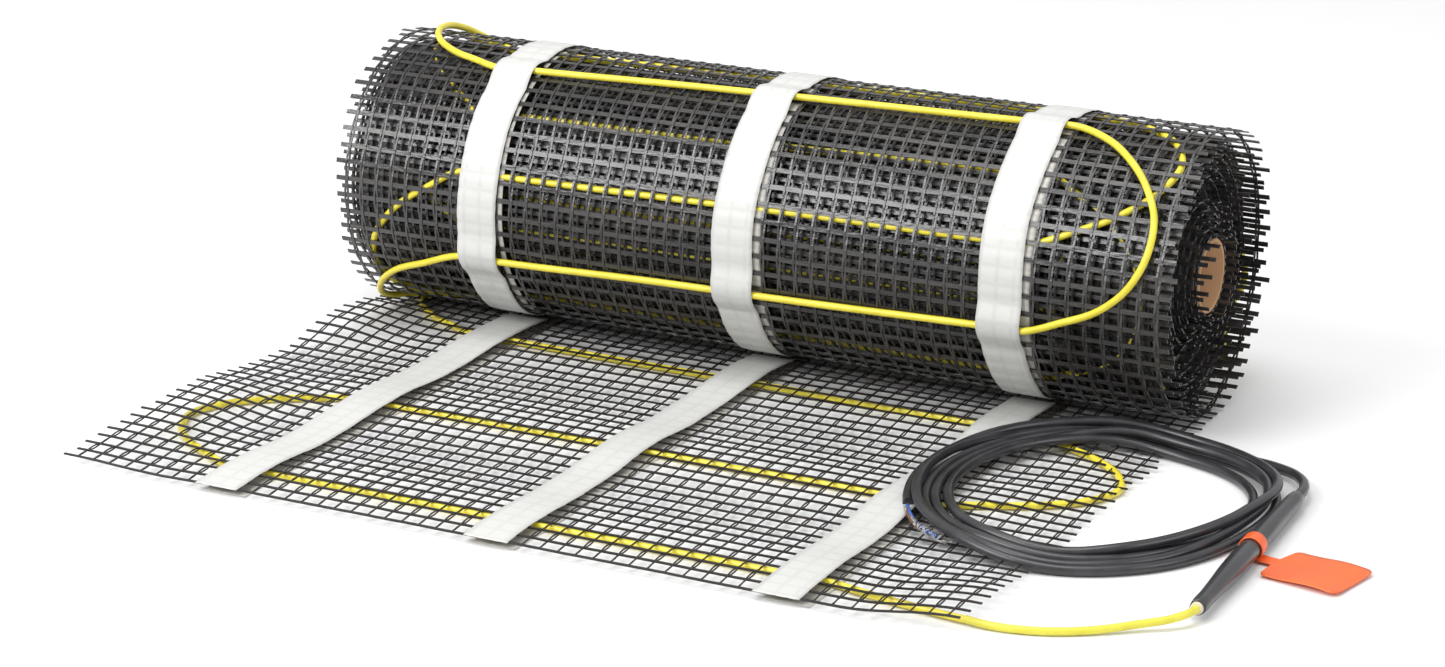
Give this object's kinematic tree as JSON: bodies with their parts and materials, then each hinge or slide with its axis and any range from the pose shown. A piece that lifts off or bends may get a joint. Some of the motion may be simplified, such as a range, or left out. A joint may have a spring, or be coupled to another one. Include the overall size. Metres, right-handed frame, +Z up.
{
  "type": "underfloor heating mat",
  "caption": "Electric underfloor heating mat: open glass-fibre mesh on a card tube, partly unrolled, with a meandering cable under tapes and a coiled cold lead.",
  "frame": {"origin": "centre of the mat's own bounding box at floor level: halfway across the mat, and halfway from its free end to the back of the roll, without the free cable, sleeve, tag and coil", "axes": "+X across the mat, along the roll's axis, towards the cold lead; +Y from the mat's free end towards the roll; +Z up"},
  "size_m": [0.6529, 0.4273, 0.1692],
  "materials": {
    "mesh": "black-brown coated glass-fibre yarn, slightly glossy",
    "card": "plain brown wound card",
    "cable": "yellow sheath, satin",
    "tape": "white tape, satin",
    "sleeve": "dark grey heat-shrink, satin",
    "liner": "cream liner, satin",
    "tag": "plain orange plastic, bare",
    "lead": "near-black cable sheath with thin highlights",
    "cores": "tinned earth braid round insulated cores"
  },
  "bodies": {
    "root": {"glass_fibre_mesh": "mesh", "cardboard_core": "card", "heating_cable": "cable", "outer_tape_left": "tape", "outer_tape_middle": "tape", "outer_tape_right": "tape", "inner_tape_left": "tape", "inner_tape_middle": "tape", "inner_tape_right": "tape", "heating_cable_lead_out": "cable", "joint_sleeve": "sleeve", "joint_liner": "liner", "joint_tag": "tag", "cold_lead": "lead", "cold_lead_coil": "lead", "cold_lead_end": "lead", "stripped_cores": "cores"}
  },
  "joints": []
}
